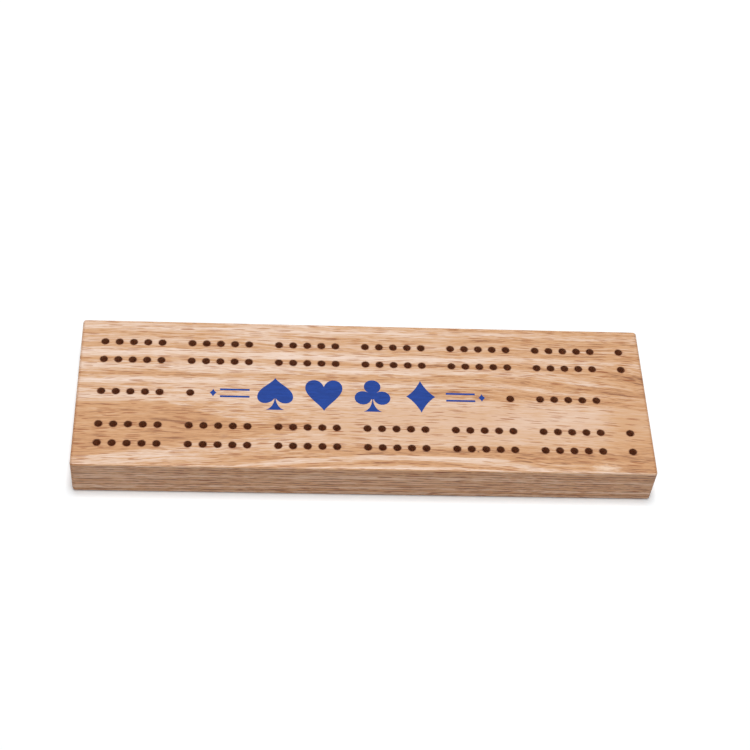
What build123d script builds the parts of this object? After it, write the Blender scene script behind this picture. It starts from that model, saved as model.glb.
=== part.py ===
"""Two-player cribbage box of solid oak: a drilled board whose underside holds a peg drawer.

Millimetres. The origin is the centre of the underside, +Z up. +X runs along the box to the end where the
drawer opens, and -Y is the long side that faces the players.
"""

import math
import os

from build123d import *

# The oak block.
LENGTH = 253.0
WIDTH = 80.0
THICKNESS = 19.5
CORNER_RADIUS = 1.6
EDGE_RADIUS = 1.0

# The peg holes: two tracks of two rows each, and one short row at either end between the tracks.
HOLE_DIAMETER = 3.4
HOLE_PITCH = 6.35
HOLES_PER_GROUP = 5
GROUPS_PER_ROW = 6
FIRST_HOLE_MARGIN = 10.7
LAST_HOLE_MARGIN = 9.7
START_HOLE_GAP = 13.2
TRACK_ROW_GAP = 10.05
INNER_ROW_OFFSET = 17.75
PATTERN_SHIFT = -0.4
DRILL_POINT_ANGLE = 118.0
HOLE_FLOOR = 1.2

# The pegs, three for each player.
PEG_LENGTH = 27.0
PEG_SHANK_DIAMETER = 3.1
PEG_TIP_DIAMETER = 2.0
PEG_WAIST_DIAMETER = 2.6
PEG_COLLAR_DIAMETER = 3.9
PEG_HEAD_DIAMETER = 4.6
PEG_TIP_LENGTH = 4.0
PEG_SHANK_LENGTH = 9.0
PEG_COLLAR_LENGTH = 0.8
PEG_WAIST_LENGTH = 3.0
PEG_HEADROOM = 0.4
PEG_SEAT_GAP = 0.05
PEG_FRONT_GAP = 1.2

# The drawer and the channel it slides in.
DRAWER_LENGTH = 132.0
DRAWER_HELD = 40.0
RAIL_WIDTH = 7.0
DIVIDER_WIDTH = 7.0
SIDE_THICKNESS = 3.5
BACK_THICKNESS = 10.0
DRAWER_BOTTOM_THICKNESS = 1.4
BOTTOM_REBATE = 1.5
LINER_THICKNESS = 0.7
FRONT_THICKNESS = 9.0
FRONT_SHOULDER = 3.0
FRONT_DADO = 4.0
SIDE_GAP = 0.3
TOP_GAP = 0.25
UNDER_GAP = 0.2
CLOSED_GAP = 0.3
TABLE_GAP = 0.5
GRIP_WIDTH = 24.0
GRIP_TOP = 5.5
GRIP_DEPTH = 4.6
GRIP_CORNER_RADIUS = 3.0

# The panel that closes the channel from below, and its screws.
PANEL_THICKNESS = 2.8
PANEL_RECESS = 0.3
PANEL_LAP = 6.5
PANEL_EDGE_GAP = 0.2
SCREWS_PER_SIDE = 3
SCREW_END_MARGIN = 14.0
SCREW_DIAMETER = 2.2
SCREW_HEAD_DIAMETER = 4.2
SCREW_LENGTH = 8.0
SCREW_FIT = 0.03
SCREW_TIP_LENGTH = 2.0
SCREW_TURN = 37.0
SLOT_WIDTH = 0.7
SLOT_DEPTH = 0.5

# The screw that stops the drawer from coming out, and the magnets that keep it shut.
STOP_INSET = 14.0
STOP_DIAMETER = 2.8
STOP_HEAD_DIAMETER = 5.6
STOP_REACH = 1.4
STOP_TIP_LENGTH = 0.35
STOP_GAP = 0.35
STOP_GROOVE_HEADROOM = 0.4
MAGNET_DIAMETER = 6.0
MAGNET_THICKNESS = 2.0
MAGNET_FIT = 0.03

# The brads that pin the drawer's sides to its back.
BRAD_DIAMETER = 0.9
BRAD_LENGTH = 9.0
BRAD_SPACING = 4.0
BRAD_DROP = 2.5
BRAD_FIT = 0.02

# Heights, from the table up.
END_X = LENGTH / 2
PANEL_TOP = PANEL_RECESS + PANEL_THICKNESS
DRAWER_BASE = PANEL_TOP + UNDER_GAP
SHEET_TOP = DRAWER_BASE + DRAWER_BOTTOM_THICKNESS
LANE_FLOOR = SHEET_TOP + LINER_THICKNESS
DRAWER_TOP = LANE_FLOOR + PEG_HEAD_DIAMETER + PEG_HEADROOM
CHANNEL_TOP = DRAWER_TOP + TOP_GAP
DRILL_POINT = HOLE_DIAMETER / 2 / math.tan(math.radians(DRILL_POINT_ANGLE / 2))
HOLE_DEPTH = THICKNESS - CHANNEL_TOP - HOLE_FLOOR - DRILL_POINT

# Places along and across the box.
PANEL_WIDTH = WIDTH - 2 * (RAIL_WIDTH + PANEL_EDGE_GAP)
CHANNEL_WIDTH = PANEL_WIDTH - 2 * PANEL_LAP
DRAWER_WIDTH = CHANNEL_WIDTH - 2 * SIDE_GAP
INNER_WIDTH = DRAWER_WIDTH - 2 * SIDE_THICKNESS
LANE_WIDTH = (INNER_WIDTH - DIVIDER_WIDTH) / 2
FRONT_WIDTH = DRAWER_WIDTH + 2 * FRONT_SHOULDER
DRAWER_TRAVEL = DRAWER_LENGTH - DRAWER_HELD
FRONT_BACK_X = END_X - FRONT_THICKNESS
SHOULDER_X = FRONT_BACK_X - CLOSED_GAP
DRAWER_BACK_X = END_X - DRAWER_LENGTH
BACK_FACE_X = DRAWER_BACK_X + BACK_THICKNESS
CHANNEL_END_X = DRAWER_BACK_X - CLOSED_GAP
LANE_Y = (DIVIDER_WIDTH + LANE_WIDTH) / 2
SIDE_Y = (DRAWER_WIDTH - SIDE_THICKNESS) / 2
PANEL_END_X = CHANNEL_END_X - PANEL_LAP
SCREW_Y = (CHANNEL_WIDTH + PANEL_LAP) / 2
STOP_X = SHOULDER_X - STOP_INSET
MAGNET_X = DRAWER_BACK_X + BACK_THICKNESS / 2


def box_between(low, high):
    """A box from its lowest corner to its highest."""
    centre = [(a + b) / 2 for a, b in zip(low, high)]
    return Pos(*centre) * Box(*[b - a for a, b in zip(low, high)])


def upright(radius, bottom, top):
    """A cylinder on the Z axis between two heights."""
    return Pos(0, 0, (bottom + top) / 2) * Cylinder(radius, top - bottom)


def turned(points):
    """A solid turned about the Z axis from (radius, height) points joined by straight lines."""
    outline = Polyline(*[(r, 0, z) for r, z in points], close=True)
    return revolve(make_face(outline), Axis.Z)


def track_places():
    """The (x, y) of every peg hole."""
    first_x, start_x = FIRST_HOLE_MARGIN - END_X, END_X - LAST_HOLE_MARGIN
    group_length = (HOLES_PER_GROUP - 1) * HOLE_PITCH
    group_pitch = (start_x - START_HOLE_GAP - group_length - first_x) / (GROUPS_PER_ROW - 1)

    def group_xs(group):
        return [first_x + group * group_pitch + hole * HOLE_PITCH for hole in range(HOLES_PER_GROUP)]

    track_xs = [x for group in range(GROUPS_PER_ROW) for x in group_xs(group)] + [start_x]
    left_xs = group_xs(0) + group_xs(1)[:1]
    right_xs = group_xs(GROUPS_PER_ROW - 2)[-1:] + group_xs(GROUPS_PER_ROW - 1)
    offsets = (INNER_ROW_OFFSET, INNER_ROW_OFFSET + TRACK_ROW_GAP)
    places = [(x, side * offset) for side in (-1, 1) for offset in offsets for x in track_xs]
    places += [(x, 0.0) for x in left_xs + right_xs]
    return [(x, y + PATTERN_SHIFT) for x, y in places]


def drilled_hole():
    """What a twist drill removes, with its point down and its mouth at the top face."""
    radius = HOLE_DIAMETER / 2
    bottom, mouth = THICKNESS - HOLE_DEPTH, THICKNESS + 1
    return turned([(0, bottom - DRILL_POINT), (radius, bottom), (radius, mouth), (0, mouth)])


def screw_shape(diameter, head_diameter, length, tip_length):
    """A countersunk screw standing head down with its slotted head's face at Z = 0."""
    radius, head_radius = diameter / 2, head_diameter / 2
    head_height = head_radius - radius
    body = turned(
        [
            (0, 0),
            (head_radius, 0),
            (radius, head_height),
            (radius, length - tip_length),
            (radius * 0.3, length),
            (0, length),
        ]
    )
    return body - Pos(0, 0, SLOT_DEPTH / 2) * Box(head_diameter + 1, SLOT_WIDTH, SLOT_DEPTH)


def screw_room(diameter, head_diameter, length, fit):
    """The countersunk hole that such a screw fills, a little larger all round and open below."""
    radius, head_radius = diameter / 2 + fit, head_diameter / 2 + fit
    head_height = head_radius - radius
    return turned(
        [
            (0, -1),
            (head_radius, -1),
            (head_radius, 0),
            (radius, head_height),
            (radius, length + fit),
            (0, length + fit),
        ]
    )


def panel_screw_places():
    """Where the screws of the channel's panel stand, on its two long laps."""
    first, last = PANEL_END_X + SCREW_END_MARGIN, SHOULDER_X - SCREW_END_MARGIN
    step = (last - first) / (SCREWS_PER_SIDE - 1)
    xs = [first + i * step for i in range(SCREWS_PER_SIDE)]
    return [Pos(x, side * SCREW_Y, PANEL_RECESS) for side in (-1, 1) for x in xs]


def oak_block():
    """The drilled block, with the drawer's channel, the front's opening and the panel's rebate below."""
    block = extrude(RectangleRounded(LENGTH, WIDTH, CORNER_RADIUS), THICKNESS)
    rims = block.edges().group_by(Axis.Z)
    block = fillet(rims[0] + rims[-1], EDGE_RADIUS)
    channel_half = CHANNEL_WIDTH / 2
    channel = box_between((CHANNEL_END_X, -channel_half, -1), (END_X, channel_half, CHANNEL_TOP))
    opening_half = FRONT_WIDTH / 2 + SIDE_GAP
    opening = box_between((SHOULDER_X, -opening_half, -1), (END_X + 1, opening_half, CHANNEL_TOP))
    rebate_half, rebate_end = PANEL_WIDTH / 2 + PANEL_EDGE_GAP, PANEL_END_X - PANEL_EDGE_GAP
    rebate = box_between((rebate_end, -rebate_half, -1), (SHOULDER_X, rebate_half, PANEL_TOP))
    hole = drilled_hole()
    holes = [Pos(x, y, 0) * hole for x, y in track_places()]
    room = screw_room(SCREW_DIAMETER, SCREW_HEAD_DIAMETER, SCREW_LENGTH, SCREW_FIT)
    pilots = [place * room for place in panel_screw_places()]
    return block - [channel, opening, rebate] - holes - pilots


def bottom_panel():
    """The thin panel that closes the channel and carries the drawer."""
    half = PANEL_WIDTH / 2
    panel = box_between((PANEL_END_X, -half, PANEL_RECESS), (SHOULDER_X, half, PANEL_TOP))
    room = screw_room(SCREW_DIAMETER, SCREW_HEAD_DIAMETER, SCREW_LENGTH, SCREW_FIT)
    stop_room = screw_room(STOP_DIAMETER, STOP_HEAD_DIAMETER, PANEL_THICKNESS + 1, SCREW_FIT)
    pocket = upright(MAGNET_DIAMETER / 2 + MAGNET_FIT, PANEL_TOP - MAGNET_THICKNESS, PANEL_TOP + 1)
    cuts = [place * room for place in panel_screw_places()]
    cuts += [Pos(STOP_X, 0, PANEL_RECESS) * stop_room, Pos(MAGNET_X, 0, 0) * pocket]
    return panel - cuts


def panel_screws():
    """The countersunk screws that hold the panel, as one group of separate solids."""
    screw = screw_shape(SCREW_DIAMETER, SCREW_HEAD_DIAMETER, SCREW_LENGTH, SCREW_TIP_LENGTH)
    places = panel_screw_places()
    turned_screws = [place * Rot(0, 0, SCREW_TURN * i) * screw for i, place in enumerate(places)]
    return Compound(children=turned_screws)


def stop_screw():
    """The screw whose plain end stands up in the drawer's groove."""
    length = SHEET_TOP + STOP_REACH - PANEL_RECESS
    screw = screw_shape(STOP_DIAMETER, STOP_HEAD_DIAMETER, length, STOP_TIP_LENGTH)
    return Pos(STOP_X, 0, PANEL_RECESS) * Rot(0, 0, SCREW_TURN) * screw


def stop_slot(bottom, top):
    """The slot that the stop screw runs in, from the closed drawer's place to the end of its travel."""
    radius = STOP_DIAMETER / 2 + STOP_GAP
    rear, fore = STOP_X - DRAWER_TRAVEL, STOP_X
    middle = box_between((rear, -radius, bottom), (fore, radius, top))
    ends = [Pos(x, 0, 0) * upright(radius, bottom, top) for x in (rear, fore)]
    return middle + ends


def magnet(bottom):
    """A disc magnet with its lower face at that height, in line with its partner."""
    return Pos(MAGNET_X, 0, 0) * upright(MAGNET_DIAMETER / 2, bottom, bottom + MAGNET_THICKNESS)


def drawer_front():
    """The drawer's oak front, flush with the end of the block, with a finger grip at its lower edge."""
    half = FRONT_WIDTH / 2
    front = box_between((FRONT_BACK_X, -half, TABLE_GAP), (END_X, half, DRAWER_TOP))
    outer_edges = front.edges().filter_by(Axis.Y).sort_by(Axis.X)[-2:]
    front = fillet(outer_edges.sort_by(Axis.Z)[0], EDGE_RADIUS)
    grip = box_between((END_X - GRIP_DEPTH, -GRIP_WIDTH / 2, -1), (END_X + 1, GRIP_WIDTH / 2, GRIP_TOP))
    grip = fillet(grip.edges().filter_by(Axis.X).group_by(Axis.Z)[-1], GRIP_CORNER_RADIUS)
    dadoes = [
        box_between(
            (FRONT_BACK_X - 1, y - SIDE_THICKNESS / 2, DRAWER_BASE),
            (FRONT_BACK_X + FRONT_DADO, y + SIDE_THICKNESS / 2, DRAWER_TOP + 1),
        )
        for y in (-SIDE_Y, SIDE_Y)
    ]
    return front - dadoes - grip


def brad_places():
    """The brads' heads, on both sides of the drawer's back, and which way each one points."""
    middle, height = (DRAWER_BACK_X + BACK_FACE_X) / 2, DRAWER_TOP - BRAD_DROP
    xs = (middle - BRAD_SPACING / 2, middle + BRAD_SPACING / 2)
    outer = DRAWER_WIDTH / 2
    return [Pos(x, side * outer, height) * Rot(side * 90, 0, 0) for side in (-1, 1) for x in xs]


def brad_rooms():
    """The holes that the brads fill."""
    room = upright(BRAD_DIAMETER / 2 + BRAD_FIT, -1, BRAD_LENGTH + BRAD_FIT)
    return [place * room for place in brad_places()]


def drawer_brads():
    """The four brads, as one group of separate solids."""
    radius = BRAD_DIAMETER / 2
    brad = turned([(0, 0), (radius, 0), (radius, BRAD_LENGTH - 2 * radius), (0, BRAD_LENGTH)])
    return Compound(children=[place * brad for place in brad_places()])


def drawer_side(sign):
    """One side strip, let into the front and rebated below for the drawer's bottom."""
    y, half = sign * SIDE_Y, SIDE_THICKNESS / 2
    end_x = FRONT_BACK_X + FRONT_DADO
    strip = box_between((DRAWER_BACK_X, y - half, DRAWER_BASE), (end_x, y + half, DRAWER_TOP))
    inner, lap = y - sign * half, y - sign * (half - BOTTOM_REBATE)
    rebate = box_between(
        (BACK_FACE_X, min(inner, lap), DRAWER_BASE - 1),
        (FRONT_BACK_X, max(inner, lap), SHEET_TOP),
    )
    return strip - rebate - brad_rooms()


def drawer_back():
    """The drawer's back, between the sides, with the magnet's pocket below."""
    half = INNER_WIDTH / 2
    back = box_between((DRAWER_BACK_X, -half, DRAWER_BASE), (BACK_FACE_X, half, DRAWER_TOP))
    pocket = upright(MAGNET_DIAMETER / 2 + MAGNET_FIT, DRAWER_BASE - 1, DRAWER_BASE + MAGNET_THICKNESS)
    return back - Pos(MAGNET_X, 0, 0) * pocket - brad_rooms()


def drawer_bottom():
    """The thin bottom, slotted for the stop screw."""
    half = INNER_WIDTH / 2 + BOTTOM_REBATE
    sheet = box_between((BACK_FACE_X, -half, DRAWER_BASE), (FRONT_BACK_X, half, SHEET_TOP))
    return sheet - stop_slot(DRAWER_BASE - 1, SHEET_TOP + 1)


def drawer_divider():
    """The rail between the two players' lanes, grooved below for the stop screw."""
    half = DIVIDER_WIDTH / 2
    rail = box_between((BACK_FACE_X, -half, SHEET_TOP), (FRONT_BACK_X, half, DRAWER_TOP))
    return rail - stop_slot(SHEET_TOP - 1, SHEET_TOP + STOP_REACH + STOP_GROOVE_HEADROOM)


def lane_liner(sign):
    """The felt strip that the pegs lie on in one lane."""
    y, half = sign * LANE_Y, LANE_WIDTH / 2
    return box_between((BACK_FACE_X, y - half, SHEET_TOP), (FRONT_BACK_X, y + half, LANE_FLOOR))


def peg():
    """A turned peg standing on its tip: tapered tip, shank, flared body, collar, waist and ball head."""
    tip, shank, waist = PEG_TIP_DIAMETER / 2, PEG_SHANK_DIAMETER / 2, PEG_WAIST_DIAMETER / 2
    collar, head = PEG_COLLAR_DIAMETER / 2, PEG_HEAD_DIAMETER / 2
    head_z = PEG_LENGTH - head
    neck_z = head_z - math.sqrt(head**2 - waist**2)
    collar_top = neck_z - PEG_WAIST_LENGTH
    outline = Polyline(
        (0, 0, 0),
        (tip, 0, 0),
        (shank, 0, PEG_TIP_LENGTH),
        (shank, 0, PEG_SHANK_LENGTH),
        (collar, 0, collar_top - PEG_COLLAR_LENGTH),
        (collar, 0, collar_top),
        (waist, 0, collar_top + (collar - waist)),
        (waist, 0, neck_z),
    )
    ball = ThreePointArc((waist, 0, neck_z), (head, 0, head_z), (0, 0, PEG_LENGTH))
    axis = Line((0, 0, PEG_LENGTH), (0, 0, 0))
    body = revolve(make_face(outline + ball + axis), Axis.Z)
    return chamfer(body.edges().sort_by(Axis.Z)[0], tip / 3)


def lying_pegs(sign):
    """Three pegs lying in one lane behind the front, heads forward, each turned a little its own way."""
    head, shank = PEG_HEAD_DIAMETER / 2, PEG_SHANK_DIAMETER / 2
    tilt = math.degrees(math.asin((head - shank) / (PEG_LENGTH - head - PEG_TIP_LENGTH)))
    spacing = (LANE_WIDTH / 2 - head) * 0.8
    head_x = FRONT_BACK_X - PEG_FRONT_GAP - head
    rest = LANE_FLOOR + head + PEG_SEAT_GAP
    lies = [(-1, 0.0, 2.0), (0, 5.5, -3.0), (1, 2.0, -1.5)]
    lying = Rot(0, 90 - tilt, 0) * Pos(0, 0, head - PEG_LENGTH) * peg()
    return [
        Pos(head_x - back, sign * LANE_Y + step * spacing, rest) * Rot(0, 0, sign * yaw) * lying
        for step, back, yaw in lies
    ]


def pieces():
    """Every piece of the box by its node's name."""
    found = {
        "oak_block": oak_block(),
        "bottom_panel": bottom_panel(),
        "panel_screws": panel_screws(),
        "drawer_stop_screw": stop_screw(),
        "catch_magnet_box": magnet(PANEL_TOP - MAGNET_THICKNESS),
        "catch_magnet_drawer": magnet(DRAWER_BASE),
        "drawer_front": drawer_front(),
        "drawer_side_near": drawer_side(-1),
        "drawer_side_far": drawer_side(1),
        "drawer_back": drawer_back(),
        "drawer_bottom": drawer_bottom(),
        "drawer_divider": drawer_divider(),
        "drawer_brads": drawer_brads(),
        "lane_liner_near": lane_liner(-1),
        "lane_liner_far": lane_liner(1),
    }
    for finish, sign in (("brass", -1), ("nickel", 1)):
        for number, lying in enumerate(lying_pegs(sign), start=1):
            found[f"peg_{finish}_{number}"] = lying
    return found


def main():
    """Writes one STEP file for each piece."""
    os.makedirs("parts", exist_ok=True)
    for name, shape in pieces().items():
        export_step(shape, f"parts/{name}.step")
    print(f"{len(track_places())} peg holes, {HOLE_DEPTH:.2f} deep; drawer comes {DRAWER_TRAVEL:.1f} out")


main()
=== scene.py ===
"""Looks for an oak cribbage box with a peg drawer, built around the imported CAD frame."""

import logging
import math
from abc import ABC, abstractmethod
from collections.abc import Callable, Sequence
from dataclasses import dataclass
from enum import Enum
from typing import ClassVar

import bmesh
import bpy
from mathutils import Euler, Matrix, Vector
from mathutils.geometry import delaunay_2d_cdt


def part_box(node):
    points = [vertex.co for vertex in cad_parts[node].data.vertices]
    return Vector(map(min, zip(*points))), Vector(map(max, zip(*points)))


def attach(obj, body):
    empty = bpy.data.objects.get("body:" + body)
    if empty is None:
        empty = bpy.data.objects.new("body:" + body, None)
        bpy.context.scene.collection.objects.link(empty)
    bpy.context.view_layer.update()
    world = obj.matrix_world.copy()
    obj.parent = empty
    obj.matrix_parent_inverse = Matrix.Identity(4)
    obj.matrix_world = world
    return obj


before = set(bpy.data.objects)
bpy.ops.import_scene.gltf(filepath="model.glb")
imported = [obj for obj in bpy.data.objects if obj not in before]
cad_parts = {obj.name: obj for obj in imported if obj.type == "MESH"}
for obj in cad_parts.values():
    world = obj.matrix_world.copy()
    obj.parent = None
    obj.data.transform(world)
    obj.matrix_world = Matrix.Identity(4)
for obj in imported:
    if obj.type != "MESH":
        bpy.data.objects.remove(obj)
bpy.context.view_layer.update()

LOG = logging.getLogger("cribbage_box")
MM = 0.001
TOP = 0.0195
WHITE = (1.0, 1.0, 1.0, 1.0)

Pair = tuple[float, float]
Point = tuple[float, float]
Triple = tuple[float, float, float]
# A fade is a low and a high value, and the results there where they aren't 0 and 1.
Fade = tuple[float, ...]


def srgb(*shade: float) -> tuple[float, ...]:
    """Gives the linear colour, with an alpha of 1, of a display colour from 11 to 255."""
    return (*(((value / 255.0 + 0.055) / 1.055) ** 2.4 for value in shade), 1.0)


def link(thing: bpy.types.Object) -> None:
    """Puts an object in the scene."""
    bpy.context.scene.collection.objects.link(thing)


# Shader building


class Kind(Enum):
    """The kinds of value that an effect takes in or gives out."""

    VALUE = "NodeSocketFloat"
    COLOUR = "NodeSocketColor"
    VECTOR = "NodeSocketVector"


@dataclass(frozen=True)
class Ripple:
    """A noise whose grains are size long along x, y and z, in the unit of the place.

    With a swing it runs from about -swing to +swing, and without one from 0 to 1.
    """

    size: Triple
    detail: float = 2.0
    roughness: float = 0.5
    swing: float | None = None


@dataclass(frozen=True)
class Dashes:
    """Scattered dashes, one in each cell of about the given size.

    A dash fades out as the distance from its cell's middle, in cells, goes over reach. Its
    strength goes from weak to full as the cell's random value goes over pick.
    """

    size: Triple
    reach: Pair
    pick: Pair
    shift: Triple = (0.0, 0.0, 0.0)
    weak: float = 0.0
    full: float = 1.0


@dataclass(frozen=True)
class Tint:
    """A colour laid over another, and how much of it. A glaze multiplies what is under it."""

    shade: Triple
    share: float = 1.0
    glaze: bool = False


@dataclass(frozen=True)
class Wire:
    """One output of a node. Arithmetic on it adds Math nodes."""

    graph: "Graph"
    node: bpy.types.Node
    output: int | str = 0

    def also(self, output: int | str) -> "Wire":
        """Gives another output of the node."""
        return Wire(self.graph, self.node, output)

    def __add__(self, other: "Signal") -> "Wire":
        """Adds the other."""
        return self.graph.math("ADD", self, other)

    def __sub__(self, other: "Signal") -> "Wire":
        """Takes the other away."""
        return self.graph.math("SUBTRACT", self, other)

    def __rsub__(self, other: "Signal") -> "Wire":
        """Takes this away from the other."""
        return self.graph.math("SUBTRACT", other, self)

    def __mul__(self, other: "Signal") -> "Wire":
        """Multiplies by the other."""
        return self.graph.math("MULTIPLY", self, other)

    def __truediv__(self, other: "Signal") -> "Wire":
        """Divides by the other."""
        return self.graph.math("DIVIDE", self, other)

    def __abs__(self) -> "Wire":
        """Drops the sign."""
        return self.graph.math("ABSOLUTE", self)


Signal = Wire | float | Sequence[float]
Inputs = dict[int | str, Signal] | Sequence[Signal]
Wires = dict[str, Wire]


class Graph:
    """Adds nodes to one shader tree. Wires and plain values can both be passed in.

    The nodes are laid out in rows, gap apart.
    """

    columns = 14
    gap = (190, -260)

    def __init__(self, tree: bpy.types.NodeTree) -> None:
        """Clears the tree."""
        tree.nodes.clear()
        self.tree = tree

    def feed(self, node: bpy.types.Node, inputs: Inputs) -> None:
        """Links wires to a node's inputs, and sets the others to plain values.

        Args:
            node: The node.
            inputs: What its inputs take, in order, or by number or name.
        """
        for socket, value in inputs.items() if isinstance(inputs, dict) else enumerate(inputs):
            target = node.inputs[socket]
            if isinstance(value, Wire):
                self.tree.links.new(value.node.outputs[value.output], target)
            else:
                target.default_value = value

    def add(self, kind: str, inputs: Inputs = (), output: int | str = 0, **settings: object) -> Wire:
        """Adds a node, laid out after the ones before it.

        Args:
            kind: The node's type without its ShaderNode prefix.
            inputs: What its inputs take.
            output: The output to give.
            **settings: Attributes to set on it.

        Returns:
            One of its outputs.
        """
        made = self.tree.nodes.new("ShaderNode" + kind)
        for name, value in settings.items():
            setattr(made, name, value)
        row, column = divmod(len(self.tree.nodes), self.columns)
        made.location = (self.gap[0] * column, self.gap[1] * row)
        self.feed(made, inputs)
        return Wire(self, made, output)

    def math(self, operation: str, *values: Signal, clamp: bool = False) -> Wire:
        """Adds a Math node. With clamp, its result stays from 0 to 1."""
        return self.add("Math", values, operation=operation, use_clamp=clamp)

    def larger(self, first: Signal, second: Signal) -> Wire:
        """Gives the larger of two values."""
        return self.math("MAXIMUM", first, second)

    def smaller(self, first: Signal, second: Signal) -> Wire:
        """Gives the smaller of two values."""
        return self.math("MINIMUM", first, second)

    def hold(self, value: Signal, low: float, high: float) -> Wire:
        """Keeps a value from low to high."""
        return self.smaller(self.larger(value, low), high)

    def vector(self, operation: str, *values: Signal) -> Wire:
        """Adds a Vector Math node."""
        return self.add("VectorMath", values, operation=operation)

    def length(self, *vector: Signal) -> Wire:
        """Gives the length of a vector, or of one with the given x, y and z."""
        whole = self.join(*vector) if len(vector) > 1 else vector[0]
        return self.vector("LENGTH", whole).also(1)

    def scale(self, vector: Signal, factor: float) -> Wire:
        """Multiplies a vector by one number."""
        return self.vector("MULTIPLY", vector, (factor,) * 3)

    def split(self, vector: Signal) -> list[Wire]:
        """Gives a vector's x, y and z."""
        made = self.add("SeparateXYZ", (vector,))
        return [made.also(axis) for axis in range(3)]

    def join(self, x: Signal, y: Signal, z: Signal) -> Wire:
        """Gives a vector of x, y and z."""
        return self.add("CombineXYZ", (x, y, z))

    def step(
        self, value: Signal, low: Signal, high: Signal, start: Signal = 0.0, end: Signal = 1.0
    ) -> Wire:
        """Moves smoothly from start to end as the value goes from low to high."""
        inputs = (value, low, high, start, end)
        return self.add("MapRange", inputs, interpolation_type="SMOOTHSTEP", clamp=True)

    def noise(self, vector: Signal, kind: Ripple) -> Wire:
        """Adds a noise.

        Args:
            vector: The place.
            kind: Which noise.

        Returns:
            The noise.
        """
        place = self.vector("DIVIDE", vector, kind.size)
        inputs = {"Vector": place, "Scale": 1.0, "Detail": kind.detail, "Roughness": kind.roughness}
        made = self.add("TexNoise", inputs)
        if kind.swing is None:
            return made
        # Most of a noise lies between a quarter and three quarters.
        return made * (4.0 * kind.swing) - 2.0 * kind.swing

    def dashes(self, vector: Signal, kind: Dashes) -> Wire:
        """Adds scattered dashes.

        Args:
            vector: The place, in the unit of the dashes' size.
            kind: Which dashes.

        Returns:
            How strong a dash is at the place.
        """
        place = self.vector("ADD", self.vector("DIVIDE", vector, kind.size), kind.shift)
        inputs = {"Vector": place, "Scale": 1.0, "Randomness": 1.0}
        cell = self.add("TexVoronoi", inputs, "Distance", voronoi_dimensions="3D", feature="F1")
        pick = self.split(cell.also("Color"))[0]
        return self.step(cell, *kind.reach, 1.0, 0.0) * self.step(pick, *kind.pick, kind.weak, kind.full)

    def ramp(self, value: Signal, stops: Sequence[tuple[float, Sequence[float]]]) -> Wire:
        """Adds a colour ramp.

        Args:
            value: Where on the ramp, from 0 to 1.
            stops: Places and linear colours, in order.

        Returns:
            The colour.
        """
        made = self.add("ValToRGB", (value,))
        elements = made.node.color_ramp.elements
        while len(elements) < len(stops):
            elements.new(0.5)
        for element, (place, _) in zip(elements, stops):
            element.position = place
        # Stops sort themselves as they move, so the colours are set after.
        for element, (_, colour) in zip(elements, stops):
            element.color = colour
        return made

    def blend(self, share: Signal, first: Signal, second: Signal, mode: str = "MIX") -> Wire:
        """Mixes a share of the second colour into the first."""
        # The node's inputs and outputs are numbered, as its names repeat for each kind.
        inputs = {0: share, 6: first, 7: second}
        return self.add("Mix", inputs, 2, data_type="RGBA", blend_type=mode, clamp_factor=True)

    def tint(self, mask: Wire, under: Signal, tint: Tint) -> Wire:
        """Lays a tint over a colour where the mask is 1."""
        mode = "MULTIPLY" if tint.glaze else "MIX"
        return self.blend(mask * tint.share, under, srgb(*tint.shade), mode)

    def mix(self, share: Signal, first: Signal, second: Signal) -> Wire:
        """Mixes a share of the second value into the first."""
        return self.add("Mix", {0: share, 2: first, 3: second}, data_type="FLOAT", clamp_factor=True)

    def effect(self, effect: "Effect", place: Wire, **values: Signal) -> Callable[[str], Wire]:
        """Places an effect's node group.

        Args:
            effect: The effect.
            place: Its place.
            **values: Its other inputs, named with _ for a space.

        Returns:
            A function from an output's name to the output.
        """
        inputs = {name.replace("_", " "): value for name, value in values.items()}
        made = self.add("Group", {"Vector": place} | inputs, node_tree=effect.tree())
        return made.also

    def bump(self, height: Signal, distance: float, strength: float) -> Wire:
        """Adds a Bump node, where a height of 1 is distance metres."""
        return self.add("Bump", {"Height": height, "Distance": distance, "Strength": strength})

    def place(self) -> Wire:
        """Gives the point on the piece at rest, in metres."""
        return self.add("TexCoord", output="Object")


# Effects


class Effect(ABC):
    """A shader node group, built once and shared. It takes a Vector before its own inputs.

    Places and sizes are in metres, unless the effect says otherwise.
    """

    name: ClassVar[str]
    takes: ClassVar[dict[str, Kind]] = {}
    gives: ClassVar[dict[str, Kind]]

    def tree(self) -> bpy.types.NodeTree:
        """Builds the node group the first time.

        Returns:
            The node group.
        """
        known = bpy.data.node_groups.get(self.name)
        if known is not None:
            return known
        tree = bpy.data.node_groups.new(self.name, "ShaderNodeTree")
        takes = {"Vector": Kind.VECTOR} | self.takes
        for side, sockets in (("INPUT", takes), ("OUTPUT", self.gives)):
            for name, kind in sockets.items():
                tree.interface.new_socket(name, in_out=side, socket_type=kind.value)
        graph = Graph(tree)
        start = tree.nodes.new("NodeGroupInput")
        results = self.wire(graph, {name: Wire(graph, start, name) for name in takes})
        graph.feed(tree.nodes.new("NodeGroupOutput"), results)
        return tree

    @abstractmethod
    def wire(self, g: Graph, given: Wires) -> Wires:
        """Builds the effect's nodes.

        Args:
            g: The group's graph.
            given: Its inputs by name.

        Returns:
            Its outputs by name.
        """


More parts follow.
